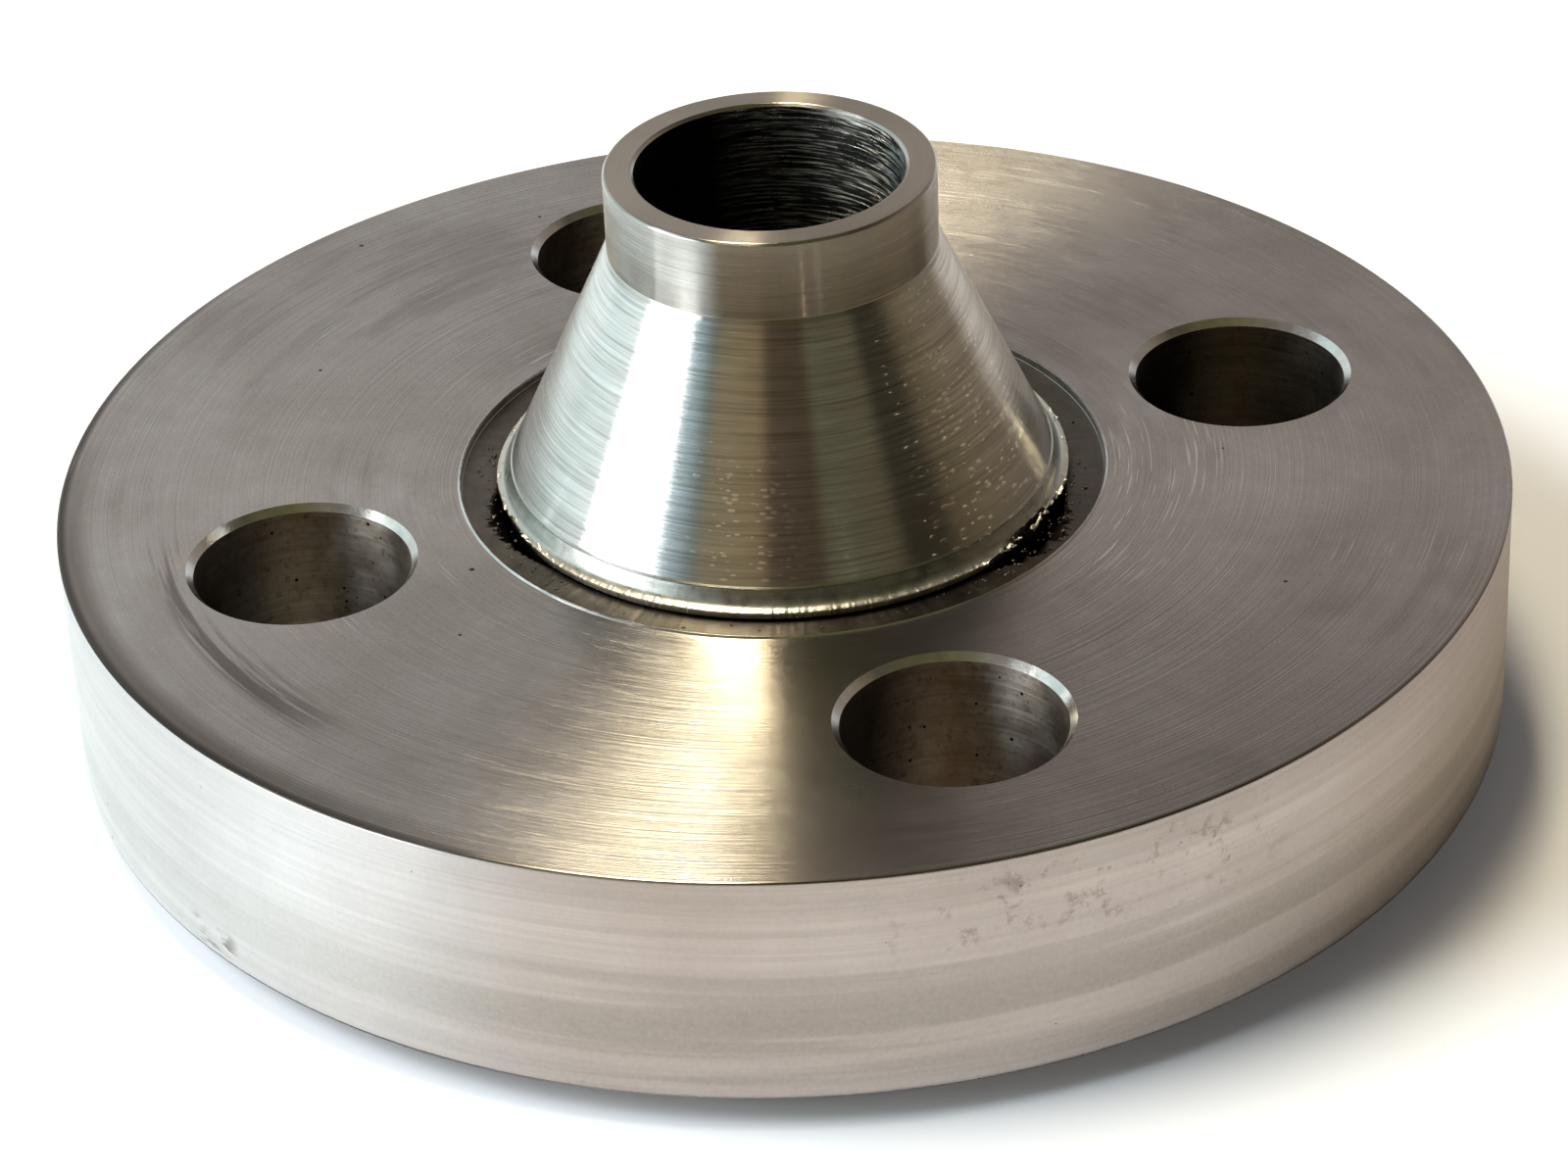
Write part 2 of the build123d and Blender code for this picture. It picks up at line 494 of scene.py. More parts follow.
def ring_face_steel():
    """Faced steel: fine grooves round the axis, dull warm grey, with arcs worn bright and stains."""
    steel = Steel("ring_face_steel")
    across = steel.radius
    grooves = steel.marks(across, pitch=0.12, sweep=0.9, seed=3, roughness=0.7)
    lines = steel.marks(across, pitch=0.42, sweep=0.7, seed=7, detail=5.0, roughness=0.7)
    bands = steel.marks(across, pitch=2.2, sweep=1.2, seed=11, detail=4.0, roughness=0.6)
    patches = steel.blotches(10.0, seed=5, detail=6.0, roughness=0.62)
    steel.ground(patches, 0.17, (0.385, 0.355, 0.335), (0.55, 0.53, 0.515))
    cloud = steel.blotches(2.6, seed=15, detail=5.0, roughness=0.65)
    steel.streak(cloud, 0.45, 0.2, (0.34, 0.31, 0.29))
    steel.streak(bands, 0.3, 0.25, (0.40, 0.365, 0.345))
    steel.streak(lines, 0.4, 0.22, (0.36, 0.335, 0.32))
    steel.streak(steel.blotches(0.25, seed=8, detail=2.0), 0.3, 0.3, (0.60, 0.57, 0.55))
    stains = steel.marks(across, pitch=3.4, sweep=1.8, seed=41, detail=6.0, roughness=0.62)
    stained = steel.above(steel.blotches(14.0, seed=44, detail=4.0), 0.40, 0.62)
    stained = steel.product(steel.above(stains, 0.44, 0.66), stained)
    steel.stain(stained, (0.24, 0.215, 0.195), 0.42)
    scuffs = steel.marks(across, pitch=0.8, sweep=1.9, seed=48, detail=4.0, roughness=0.6)
    scuffed = steel.product(steel.facing(-125, 22), steel.between(across, 39.2, 41.8, 0.5))
    scuffed = steel.product(steel.above(scuffs, 0.43, 0.56), scuffed)
    steel.stain(scuffed, (0.15, 0.13, 0.115), 0.8)
    outer = steel.above(across, ring_radius - 2.6, ring_radius - 0.9)
    smear = steel.product(steel.facing(-122, 44), outer, steel.spread(bands, 0.5, 0.85, 0.2))
    steel.stain(smear, (0.15, 0.125, 0.11))
    # The outer edge of the face is made darker round the left side.
    at_edge = steel.above(across, ring_radius - 0.75, ring_radius - 0.3)
    dark_outer_edge = steel.product(steel.facing(-132, 66), at_edge)
    steel.stain(dark_outer_edge, (0.07, 0.06, 0.052), 0.85)
    arcs = steel.above(steel.marks(across, pitch=0.17, sweep=5.0, seed=21, detail=1.0), 0.60, 0.70)
    rubbed = steel.product(steel.facing(14, 40), steel.between(across, 21.5, 29.0, 2.0))
    rubbed_too = steel.above(steel.blotches(8.0, seed=31), 0.56, 0.70)
    worn = steel.product(arcs, steel.either(rubbed, steel.product(rubbed_too, 0.7)))
    steel.stain(worn, (0.86, 0.84, 0.81), 0.45)
    pits = steel.specks(3.2, radius=0.22, share=0.08, seed=51)
    steel.stain(pits, (0.06, 0.05, 0.045))
    rough = steel.spread(patches, 0.165, 0.180, 0.2)
    rough = calc(steel.tree, "ADD", rough, steel.product(stained, 0.015))
    rough = calc(steel.tree, "ADD", rough, steel.product(steel.either(scuffed, dark_outer_edge), 0.06))
    heights = (grooves, 0.020), (lines, 0.018), (worn, 0.004), (pits, -0.1)
    return steel.finished(rough, *heights, anisotropy=1.0)


def ring_rim_steel():
    """Turned rim: soft horizontal bands of tool marks, brighter than the faces, with a few pits, and
    painted shade low down, strongest towards the front right.
    """
    steel = Steel("ring_rim_steel")
    up = steel.height
    grooves = steel.marks(up, pitch=0.14, sweep=1.0, seed=4, roughness=0.7)
    lines = steel.marks(up, pitch=0.45, sweep=0.8, seed=16, detail=5.0, roughness=0.65)
    bands = steel.marks(up, pitch=2.0, sweep=0.8, seed=14, detail=4.0, roughness=0.55)
    patches = steel.blotches(8.0, seed=6, detail=5.0, roughness=0.6)
    steel.ground(patches, 0.22, (0.615, 0.555, 0.55), (0.73, 0.675, 0.67))
    steel.streak(lines, 0.55, 0.17, (0.47, 0.43, 0.42))
    # Painted shade: the rim is darkened low down, all round and most towards the front right.
    front_shade_weight = calc(steel.tree, "MULTIPLY_ADD", steel.facing(-29, 95), 0.75, 0.35)
    painted_low_shade = steel.product(steel.below(up, ring_bottom + 5, ring_top - 4), front_shade_weight)
    steel.stain(painted_low_shade, (0.43, 0.39, 0.37), 0.42)
    # Real tool-mark bands, darkened only inside that painted low shade.
    dull = steel.product(steel.above(bands, 0.43, 0.57), painted_low_shade)
    steel.stain(dull, (0.38, 0.35, 0.325), 0.6)
    steel.streak(steel.blotches(0.3, seed=18, detail=2.0), 0.18, 0.3, (0.86, 0.84, 0.82))
    spotted = steel.blotches(1.5, seed=63, detail=7.0, roughness=0.72)
    rust = steel.product(
        steel.facing(-41, 19), steel.between(up, 11.5, 17.0, 1.2), steel.above(spotted, 0.54, 0.64)
    )
    steel.stain(rust, (0.30, 0.26, 0.24), 0.6)
    spots = steel.specks(0.5, radius=0.10, share=0.3, seed=64)
    spots = steel.product(spots, steel.above(rust, 0.2, 0.6))
    scrapes = steel.marks(up, pitch=0.5, sweep=30.0, seed=67, detail=4.0)
    scar = steel.product(
        steel.facing(-112.5, 3.2), steel.between(up, 2.8, 4.6, 0.5), steel.above(scrapes, 0.44, 0.62)
    )
    pits = steel.specks(1.0, radius=0.13, share=0.35, seed=61)
    pits = steel.product(pits, steel.above(steel.blotches(9.0, seed=66), 0.58, 0.64))
    marred = steel.either(steel.either(spots, steel.product(scar, 0.8)), pits)
    steel.stain(marred, (0.20, 0.17, 0.15))
    rough = steel.spread(bands, 0.26, 0.36, 0.25)
    rough = calc(steel.tree, "ADD", rough, steel.product(marred, 0.2))
    heights = (grooves, 0.012), (lines, 0.02), (marred, -0.06)
    return steel.finished(rough, *heights, anisotropy=0.8)


def drilled_steel():
    """Inside of the drilled holes: brown and dark, with drill marks, pits and a dull gloss; painted
    shade makes the walls that face one way nearly black.
    """
    steel = Steel("drilled_steel")
    patches = steel.blotches(2.6, seed=7, detail=6.0, roughness=0.65)
    steel.ground(patches, 0.2, (0.25, 0.18, 0.135), (0.54, 0.48, 0.43))
    per_metre = (120.0, 120.0, 3600.0)  # the drill's marks are long round the hole and fine along it
    drilled = node(steel.tree, "ShaderNodeMapping", {"Vector": steel.place, "Scale": per_metre})
    drilled = steel.noise(drilled.outputs[0], 1.0, 4.0, 0.6)
    steel.streak(drilled, 0.6, 0.22, (0.15, 0.12, 0.10))
    spots = steel.above(steel.blotches(0.5, seed=9, detail=2.0), 0.56, 0.72)
    steel.stain(spots, (0.09, 0.07, 0.06), 0.5)
    steel.stain(steel.facing(45, 26), (0.05, 0.04, 0.03), 0.7)
    # Painted shade: the hole walls that face the way set near the top are painted nearly black.
    wall = node(steel.tree, "ShaderNodeNewGeometry").outputs["True Normal"]
    painted_wall_shade = steel.above(vector_calc(steel.tree, "DOT_PRODUCT", wall, shaded_wall_way), 0.45, 0.95)
    steel.stain(painted_wall_shade, (0.035, 0.028, 0.024), 0.75)
    pits = steel.specks(0.75, radius=0.15, share=0.4, seed=71)
    steel.stain(pits, (0.02, 0.018, 0.016))
    rough = steel.spread(patches, 0.38, 0.52, 0.25)
    return steel.finished(rough, (drilled, 0.05), (pits, -0.12), anisotropy=0.85, drilled=True)


def cut_edge_steel():
    """Small chamfers and broken edges, cut bright."""
    steel = Steel("cut_edge_steel")
    patches = steel.blotches(1.2, seed=9)
    steel.ground(patches, 0.25, (0.62, 0.59, 0.56), (0.84, 0.82, 0.79))
    rough = steel.spread(patches, 0.14, 0.22, 0.25)
    return steel.finished(rough, (steel.blotches(0.2, seed=19), 0.005))


def recess_steel():
    """Floor of the recess and the ring's bore: coarse, dark, brownish and matt, with painted shade:
    darker towards the right, and nearly black in the bore and in patches along the inner edge by the
    gap.
    """
    steel = Steel("recess_steel")
    patches = steel.blotches(1.8, seed=10, detail=6.0, roughness=0.65)
    rings = steel.marks(steel.radius, pitch=0.22, sweep=12.0, seed=12, detail=3.0)
    steel.ground(patches, 0.22, (0.075, 0.064, 0.055), (0.20, 0.178, 0.155))
    # Painted shade: the recess is darker towards its right side.
    steel.stain(steel.facing(35, 60), (0.05, 0.045, 0.04), 0.6)
    steel.streak(rings, 0.5, 0.25, (0.11, 0.095, 0.08))
    # Painted shade: nearly black in patches along the inner edge by the gap, and all over below the
    # floor, in the ring's bore and on the hub in the gap.
    gap_edge_shade = steel.below(steel.radius, ring_bore_radius, ring_bore_radius + 0.7)
    gap_edge_shade = steel.product(gap_edge_shade, steel.above(patches, 0.38, 0.58))
    shade_below_floor = steel.below(steel.height, recess_floor - 0.5, recess_floor - 0.1)
    steel.stain(steel.either(gap_edge_shade, shade_below_floor), (0.025, 0.022, 0.02))
    return steel.finished(steel.spread(patches, 0.34, 0.46, 0.25), (rings, 0.02), anisotropy=0.8)


def ring_finish(x, y, z):
    """The name of the finish that the ring has at a place."""
    radius = math.hypot(x, y)
    turn = math.remainder(math.atan2(y, x) - first_bolt_angle, math.tau / bolt_count)
    to_hole = math.hypot(radius * math.cos(turn) - bolt_circle_radius, radius * math.sin(turn))
    if to_hole < bolt_hole_radius + near:
        return "hole"
    if to_hole < bolt_hole_radius + bolt_chamfer - near:
        return "edge"
    if radius < recess_radius - near:
        return "recess"
    if radius > ring_radius - near:
        return "rim"
    on_burr = z > recess_floor and radius < recess_radius + recess_bevel - 2 * near
    return "edge" if on_burr else "face"


def paint(piece, finishes, finish_at):
    """Gives each face of a piece the finish that finish_at names for its middle."""
    piece.data.materials.clear()
    for finish in finishes.values():
        piece.data.materials.append(finish)
    names = list(finishes)
    for face in piece.data.polygons:
        face.material_index = names.index(finish_at(*(face.center / mm)))


ring_corners = [
    (ring_bore_radius, seat_height + seat_chamfer, 0),
    (ring_bore_radius, recess_floor - 1.6, 0),
    (ring_bore_radius, recess_floor - recess_break, 0.08),
    (ring_bore_radius + recess_break, recess_floor, 0.08),
    (recess_radius, recess_floor, 0.06),
    (recess_radius, ring_top, 0.03),
    (recess_radius + 0.05, ring_top + recess_burr, 0.03),
    (recess_radius + 0.11, ring_top + recess_burr, 0.03),
    (recess_radius + recess_bevel, ring_top, 0.04),
    (ring_radius - rim_break, ring_top, 0.15),
    (ring_radius, ring_top - rim_break, 0.15),
    (ring_radius, ring_bottom + 1.1, 0),
    (ring_radius, ring_bottom + 0.75, 0),
    (ring_radius - 0.04, ring_bottom + rim_chamfer, 0.25),
    (ring_radius - rim_chamfer, ring_bottom + 0.04, 0.25),
    (counterbore_radius + rim_chamfer, ring_bottom, 0),
    (counterbore_radius, ring_bottom + rim_chamfer, 0),
    (counterbore_radius, seat_height, 0),
    (ring_bore_radius + seat_chamfer, seat_height, 0),
]
cutter_mouth = bolt_hole_radius + bolt_chamfer + cut_margin
cutter_corners = [
    (0, ring_bottom - cut_margin, 0),
    (0, ring_top + cut_margin, 0),
    (cutter_mouth, ring_top + cut_margin, 0),
    (bolt_hole_radius, ring_top - bolt_chamfer, 0),
    (bolt_hole_radius, ring_bottom + bolt_chamfer, 0),
    (cutter_mouth, ring_bottom - cut_margin, 0),
]


def ring_torn(radius, height):
    """Where the ring's outline is ragged: its lower rim edge, and the edge of its bore."""
    if radius < ring_bore_radius + 1 and height > recess_floor - 0.5:
        return 1.0
    return -0.7 if height < ring_bottom + 0.68 and radius > ring_radius - 0.8 else 0.0


def bites(half_width, *depths):
    """Lathe values for the two broken places; a bite is half_width degrees to each side."""
    values = {}
    for bite, angle, depth in zip(("Bite 1", "Bite 2"), bite_angles, depths):
        values[bite + " angle"] = math.radians(angle)
        values[bite + " half width"] = math.radians(half_width)
        values[bite + " depth"] = depth * mm
    return values


ring_finishes = {
    "face": ring_face_steel(), "rim": ring_rim_steel(), "hole": drilled_steel(),
    "edge": cut_edge_steel(), "recess": recess_steel(),
}
lathe = lathe_tree(ring_finishes["face"])
ring_blank = made_by(
    lathe, "ring_blank",
    section_mesh("ring_section", rounded(ring_corners), ring_torn),
    {
        "Steps round": ring_steps, "Tear depth": 0.10 * mm, "Tears round": 60.0, "Seed": 3.0,
        **bites(22, 1.8, 1.3),
    },
)
hole_cutter = made_by(
    lathe, "hole_cutter", section_mesh("cutter_section", rounded(cutter_corners)),
    {
        "Steps round": hole_steps, "Tear depth": 0.0, "Tears round": 1.0, "Seed": 0.0,
        **bites(22, 0.0, 0.0),
    },
)
ring = made_by(
    drill_tree(ring_finishes["face"]), "flange_ring_turned", ring_blank.data,
    {
        "Cutter": hole_cutter, "Bolt circle radius": bolt_circle_radius * mm,
        "Holes": bolt_count, "First angle": first_bolt_angle,
    },
)
bpy.data.objects.remove(ring_blank)
bpy.data.objects.remove(hole_cutter)
paint(ring, ring_finishes, ring_finish)
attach(ring, "ring")
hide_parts("flange_ring")

# ---- Weld-neck hub -----------------------------------------------------------------------------
# The bored hub that the pipe is welded to: a bright turned cone that runs up to a short straight
# neck, with a collar below that carries the ring and stands out as the sealing face.

hub_low, hub_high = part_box("weld_neck_hub")
hub_top = hub_high.z / mm
collar_radius = hub_high.x / mm
bore_radius = mounts["pipe_bore"]["dims"]["r_mm"]
neck_radius = mounts["weld_end"]["dims"]["r_mm"]
neck_foot = hub_top - 5.6
neck_break = 0.15
cone_head_radius = neck_radius + 0.18
cone_foot_radius = 17.9
lip_radius = 18.75
lip_top = ring_top + 0.25
lip_edge = 0.37  # how thick the lip ends
cone_foot = lip_top + 0.75
flare_steps = 8
undercut = 0.5  # how far the lip's underside slopes down to the body
body_radius = 18.0
seat_fillet = 1.0
collar_break = 0.4
face_chamfer = 0.5
bore_break = 0.2
ridge_bottom = cone_foot + 0.36  # a fine ridge ends the cone above its flare
torn_radius = cone_foot_radius + 0.3  # the lip is ragged outside this
hub_steps = 1080


def flare():
    """The hollow flare at the foot of the cone: it leaves along the cone and ends almost level."""
    start = Vector((cone_foot_radius, cone_foot))
    end = Vector((lip_radius, lip_top))
    along = (start - Vector((cone_head_radius, neck_foot))).normalized()
    bend = start + along * ((lip_top + 0.06 - cone_foot) / along.y)
    for count in range(flare_steps + 1):
        share = count / flare_steps
        place = start.lerp(bend, share).lerp(bend.lerp(end, share), share)
        yield (place.x, place.y, 0)


def cone_steel():
    """The turned cone: bright, with fine marks round it that break up what it mirrors; painted shade
    darkens it low on its right side, and its chatter flecks are real marks whose brightness is a painted
    glint.
    """
    steel = Steel("cone_steel")
    up = steel.height
    grooves = steel.marks(up, pitch=0.10, sweep=1.2, seed=3, roughness=0.75)
    lines = steel.marks(up, pitch=0.34, sweep=0.8, seed=17, detail=5.0, roughness=0.75)
    patches = steel.blotches(3.0, seed=13, detail=5.0)
    steel.ground(patches, 0.25, (0.73, 0.725, 0.705), (0.84, 0.835, 0.815))
    steel.streak(lines, 0.48, 0.16, (0.38, 0.36, 0.33), centre=0.52)
    fine = steel.marks(up, pitch=0.17, sweep=1.6, seed=37, roughness=0.6)
    steel.streak(fine, 0.6, 0.12, (0.30, 0.28, 0.25), centre=0.57)
    bands = steel.marks(up, pitch=1.8, sweep=2.0, seed=19, detail=4.0)
    steel.streak(bands, 0.35, 0.25, (0.45, 0.43, 0.40))
    # Painted shade: the cone is darkened low down on its right side.
    painted_low_right_shade = steel.product(steel.below(up, cone_foot + 1, cone_foot + 9), steel.facing(8, 60))
    steel.stain(painted_low_right_shade, (0.42, 0.375, 0.31), 0.5)
    # Chatter flecks: real tool marks, placed and brightened only where the lamp catches them, so their
    # brightness is a painted glint.
    chatter_and_glint_places = steel.between(up, cone_foot, cone_foot + 7.5, 1.5)
    chatter_and_glint_places = steel.product(steel.facing(-71, 14), chatter_and_glint_places)
    chatter_and_glint_places = steel.either(chatter_and_glint_places, steel.product(steel.facing(-8, 26), 0.6))
    flecks = steel.product(steel.dashes(up, pitch=0.26, sweep=22.0, share=0.85, seed=29), chatter_and_glint_places)
    steel.stain(flecks, (0.98, 0.95, 0.88))
    heights = (grooves, 0.005), (lines, 0.012), (flecks, 0.05)
    return steel.finished(steel.spread(lines, 0.14, 0.21, 0.25), *heights, anisotropy=1.0)


def neck_steel():
    """The straight neck and its end face: satin, fine marks, slightly warm."""
    steel = Steel("neck_steel")
    up = steel.height
    grooves = steel.marks(up, pitch=0.11, sweep=1.2, seed=23, roughness=0.7)
    lines = steel.marks(up, pitch=0.5, sweep=1.0, seed=27, detail=5.0, roughness=0.65)
    patches = steel.blotches(2.5, seed=29, detail=5.0)
    steel.ground(patches, 0.25, (0.56, 0.54, 0.51), (0.68, 0.66, 0.63))
    steel.streak(lines, 0.6, 0.18, (0.40, 0.37, 0.33))
    scratches = steel.marks(steel.radius, pitch=0.3, sweep=1.4, seed=28, detail=5.0)
    on_end = steel.above(up, hub_top - 0.08, hub_top - 0.02)
    steel.stain(steel.product(on_end, steel.spread(scratches, 0.7, 1.0, 0.5)), (0.38, 0.335, 0.285))
    rough = steel.spread(patches, 0.15, 0.20, 0.25)
    return steel.finished(rough, (grooves, 0.004), (lines, 0.008), anisotropy=1.0)


def bore_steel():
    """The bore of the hub: torn and glossy, painted nearly black as shade and lighter on its far right
    side, where its short torn flecks that run round it are painted bright as highlights.
    """
    steel = Steel("bore_steel")
    tears = steel.marks(steel.height, pitch=0.15, sweep=2.2, seed=33, detail=4.0, roughness=0.6)
    ledges = steel.above(tears, 0.50, 0.60)
    patches = steel.blotches(2.0, seed=37, detail=4.0)
    # Painted light and shade: the bore is nearly black, lighter on its far right side, and only there
    # are its real torn ledges painted bright as highlights.
    painted_lit_side = steel.either(steel.facing(48, 66), steel.product(steel.facing(105, 40), 0.25))
    steel.base = tint(steel.tree, painted_lit_side, (0.008, 0.007, 0.006), (0.06, 0.06, 0.055))
    steel.stain(steel.product(ledges, painted_lit_side), (0.88, 0.90, 0.88))
    rough = steel.spread(patches, 0.22, 0.36, 0.25)
    return steel.finished(rough, (ledges, 0.05), (tears, 0.08), anisotropy=0.9, drilled=True)


def lip_steel():
    """The rolled lip: drawn out thin and dull, scored along its length, with a bright torn edge and
    painted shade on its underside.
    """
    steel = Steel("lip_steel")
    across = steel.radius
    scores = steel.marks(across, pitch=0.16, sweep=1.6, seed=81, detail=4.0, roughness=0.6)
    patches = steel.blotches(0.9, seed=83, detail=5.0, roughness=0.6)
    steel.ground(patches, 0.22, (0.30, 0.31, 0.29), (0.50, 0.50, 0.46))
    steel.streak(scores, 0.6, 0.18, (0.18, 0.175, 0.155))
    at_edge = steel.above(across, lip_radius - 0.62, lip_radius - 0.34)
    steel.stain(at_edge, (0.80, 0.77, 0.70), 0.62)
    # Painted shade: the underside of the lip is darkened.
    painted_underside_shade = steel.below(steel.height, lip_top - 0.18, lip_top - 0.10)
    steel.stain(painted_underside_shade, (0.24, 0.21, 0.18), 0.85)
    rough = steel.spread(patches, 0.24, 0.38, 0.25)
    return steel.finished(rough, (scores, 0.012), (patches, 0.02))


def hub_finish(x, y, z):
    """The name of the finish that the hub has at a place."""
    radius = math.hypot(x, y)
    if radius < bore_radius + near:
        return "bore"
    if z > hub_top - near:
        broken = radius > neck_radius - neck_break or radius < bore_radius + bore_break
        return "edge" if broken else "neck"
    if z > neck_foot:
        return "neck"
    if z > ridge_bottom:
        return "cone"
    if z > lip_top - lip_edge - undercut and radius > body_radius - 0.2:
        return "lip"
    # Below the lip, the hub's body in the gap takes the recess finish, which is painted nearly black
    # there as shade.
    in_gap = near / 2 < z < cone_foot and radius < collar_radius - near
    return "dark" if in_gap else "neck"


hub_corners = [
    (bore_radius, face_chamfer, 0),
    (bore_radius, hub_top - bore_break, 0.1),
    (bore_radius + bore_break, hub_top, 0.1),
    (neck_radius - neck_break, hub_top, 0.1),
    (neck_radius, hub_top - neck_break, 0.1),
    (neck_radius, neck_foot + 0.26, 0.2),
    (cone_head_radius, neck_foot, 0.15),
    (cone_foot_radius - 0.24, cone_foot + 0.52, 0),
    (cone_foot_radius - 0.13, cone_foot + 0.42, 0),
    (cone_foot_radius - 0.15, cone_foot + 0.30, 0),
    *flare(),
    (lip_radius, lip_top - lip_edge, 0),
    (body_radius, lip_top - lip_edge - undercut, 0),
    (body_radius, seat_height + seat_fillet, 0),
    (body_radius + seat_fillet * 0.3, seat_height + seat_fillet * 0.3, 0),
    (body_radius + seat_fillet, seat_height, 0),
    (collar_radius - collar_break, seat_height, 0),
    (collar_radius, seat_height - collar_break, 0),
    (collar_radius, collar_break, 0.1),
    (collar_radius - collar_break, 0, 0.1),
    (bore_radius + face_chamfer, 0, 0),
]


def hub_torn(radius, height):
    """Where the hub's outline is ragged: the edge of the rolled lip."""
    if abs(height - lip_top) > 0.5 or radius < torn_radius:
        return 0.0
    return (radius - torn_radius) / (lip_radius - torn_radius)


hub_finishes = {
    "cone": cone_steel(), "neck": neck_steel(), "bore": bore_steel(),
    # dark: the recess finish, used here as painted shade in the gap under the lip
    "edge": ring_finishes["edge"], "dark": ring_finishes["recess"], "lip": lip_steel(),
}
hub = made_by(
    lathe, "weld_neck_hub_turned",
    section_mesh("hub_section", rounded(hub_corners), hub_torn),
    {
        "Steps round": hub_steps, "Tear depth": 0.17 * mm, "Tears round": 80.0, "Seed": 8.0,
        **bites(20, -0.75, -0.22),
    },
)
paint(hub, hub_finishes, hub_finish)
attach(hub, "hub")
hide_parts("weld_neck_hub")

# ---- Torn slivers on the lip -------------------------------------------------------------------
# Thin slivers and scales of the hub's own steel, left where the rolled lip tore.  They hang on the
# lip's edge all round, thicker at the two broken places, and turn with the hub.


def scatter(name, tree, values, body):
    """Makes crumbs of one kind as a piece of its own."""
    crumbs = made_by(tree, name, bpy.data.meshes.new(name), values)
    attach(crumbs, body)


sliver_tree = crumb_tree(hub_finishes["lip"])
for name, crumbs, first, last, seed in (
    ("slivers_left", 40, -178, -116, 3),
    ("slivers_right", 46, -34, 26, 5),
    ("slivers_round", 34, 26, 182, 9),
):
    scatter(
        name, sliver_tree,
        {
            "Crumbs": crumbs, "From angle": math.radians(first), "To angle": math.radians(last),
            "Radius": (lip_radius - 0.20) * mm, "Radius spread": 0.18 * mm,
            "Height": (lip_top - 0.02) * mm, "Height spread": 0.08 * mm,
            "Smallest": (0.08 * mm, 0.20 * mm, 0.04 * mm),
            "Largest": (0.26 * mm, 1.20 * mm, 0.12 * mm),
            "Roughened": 0.14 * mm, "Seed": seed,
        },
        "hub",
    )

# ---- Swarf in the recess -----------------------------------------------------------------------
# Dark crumbs of swarf and dirt that lie on the floor of the recess, along the broken edge of the
# ring's bore.  They are stuck to the ring and turn with it.

swarf_tree = crumb_tree(ring_finishes["recess"])
for name, crumbs, first, last, seed in (
    ("swarf_left", 44, -166, -108, 13),
    ("swarf_right", 50, -24, 18, 17),
    ("swarf_round", 40, -100, 175, 19),
):
    scatter(
        name, swarf_tree,
        {
            "Crumbs": crumbs, "From angle": math.radians(first), "To angle": math.radians(last),
            "Radius": (ring_bore_radius + 1.0) * mm, "Radius spread": 0.7 * mm,
            "Height": (recess_floor + 0.02) * mm, "Height spread": 0.02 * mm,
            "Smallest": (0.06 * mm, 0.06 * mm, 0.05 * mm),
            "Largest": (0.26 * mm, 0.36 * mm, 0.15 * mm),
            "Roughened": 0.08 * mm, "Seed": seed,
        },
        "ring",
    )

# ---- Table, light and camera -------------------------------------------------------------------
# A white table in a plain room, with a large window at the left, a long pale lamp in the ceiling
# behind the object, and darker walls and furniture round the camera.

camera_azimuth = 27.63  # all angles here are in degrees
camera_elevation = 30.51
camera_distance = 0.3293  # in metres, from the middle of the ring's top
camera_roll = -2.55
aim_height = 8.43
aim_side = -0.26
lens_mm = 115.1
table_reach = 2.0  # in metres


def toward(bearing, elevation):
    """A direction: its bearing round from the camera, to the camera's right, and its elevation."""
    across = math.radians(camera_azimuth + bearing)
    up = math.radians(elevation)
    return Vector((math.sin(across) * math.cos(up), -math.cos(across) * math.cos(up), math.sin(up)))


def softbox(name, bearing, elevation, distance, width, height, shade, radiance, shows=True):
    """A rectangular lamp that faces the object; a radiance of 1 looks white."""
    light = bpy.data.lights.new(name, "AREA")
    light.shape = "RECTANGLE"
    light.size = width
    light.size_y = height
    light.color = shade
    light.energy = radiance * math.pi * width * height
    lamp = bpy.data.objects.new(name, light)
    bpy.context.scene.collection.objects.link(lamp)
    direction = toward(bearing, elevation)
    lamp.location = Vector((0, 0, ring_top * mm)) + direction * distance
    lamp.rotation_mode = "QUATERNION"
    lamp.rotation_quaternion = direction.to_track_quat("Z", "Y")
    lamp.visible_glossy = shows


def ramp(tree, value, stops):
    """A colour ramp through stops of (position, red, green, blue)."""
    made = node(tree, "ShaderNodeValToRGB", {0: value})
    band = made.color_ramp
    while len(band.elements) < len(stops):
        band.elements.new(0.5)
    for element, (place, *shade) in zip(band.elements, stops):
        element.position = place
        element.color = (*shade, 1.0)
    return made.outputs[0]


def arc_ramp(tree, value, stops, arc):
    """A colour ramp through stops of (angle, red, green, blue), with angle 0 in its middle."""
    return ramp(tree, value, [(angle / arc + 0.5, *shade) for angle, *shade in stops])


def rise(elevation):
    """The height of a direction at that elevation."""
    return math.sin(math.radians(elevation))


scene = bpy.context.scene
scene.view_settings.view_transform = "Standard"

table_mesh = bpy.data.meshes.new("table")
corners = [(-table_reach, -table_reach), (table_reach, -table_reach)]
corners += [(table_reach, table_reach), (-table_reach, table_reach)]
table_mesh.from_pydata([(x, y, 0) for x, y in corners], [], [(0, 1, 2, 3)])
table = bpy.data.objects.new("table", table_mesh)
scene.collection.objects.link(table)
table_paint = bpy.data.materials.new("table_paint")
table_paint.use_nodes = True
tree = table_paint.node_tree
tree.nodes.clear()
path = node(tree, "ShaderNodeLightPath").outputs
place = node(tree, "ShaderNodeTexCoord").outputs["Object"]
way = vector_calc(tree, "NORMALIZE", place)
distance = vector_calc(tree, "LENGTH", place)
toward_front = vector_calc(tree, "DOT_PRODUCT", way, toward(40, 0))
toward_back = vector_calc(tree, "DOT_PRODUCT", way, toward(135, 0))
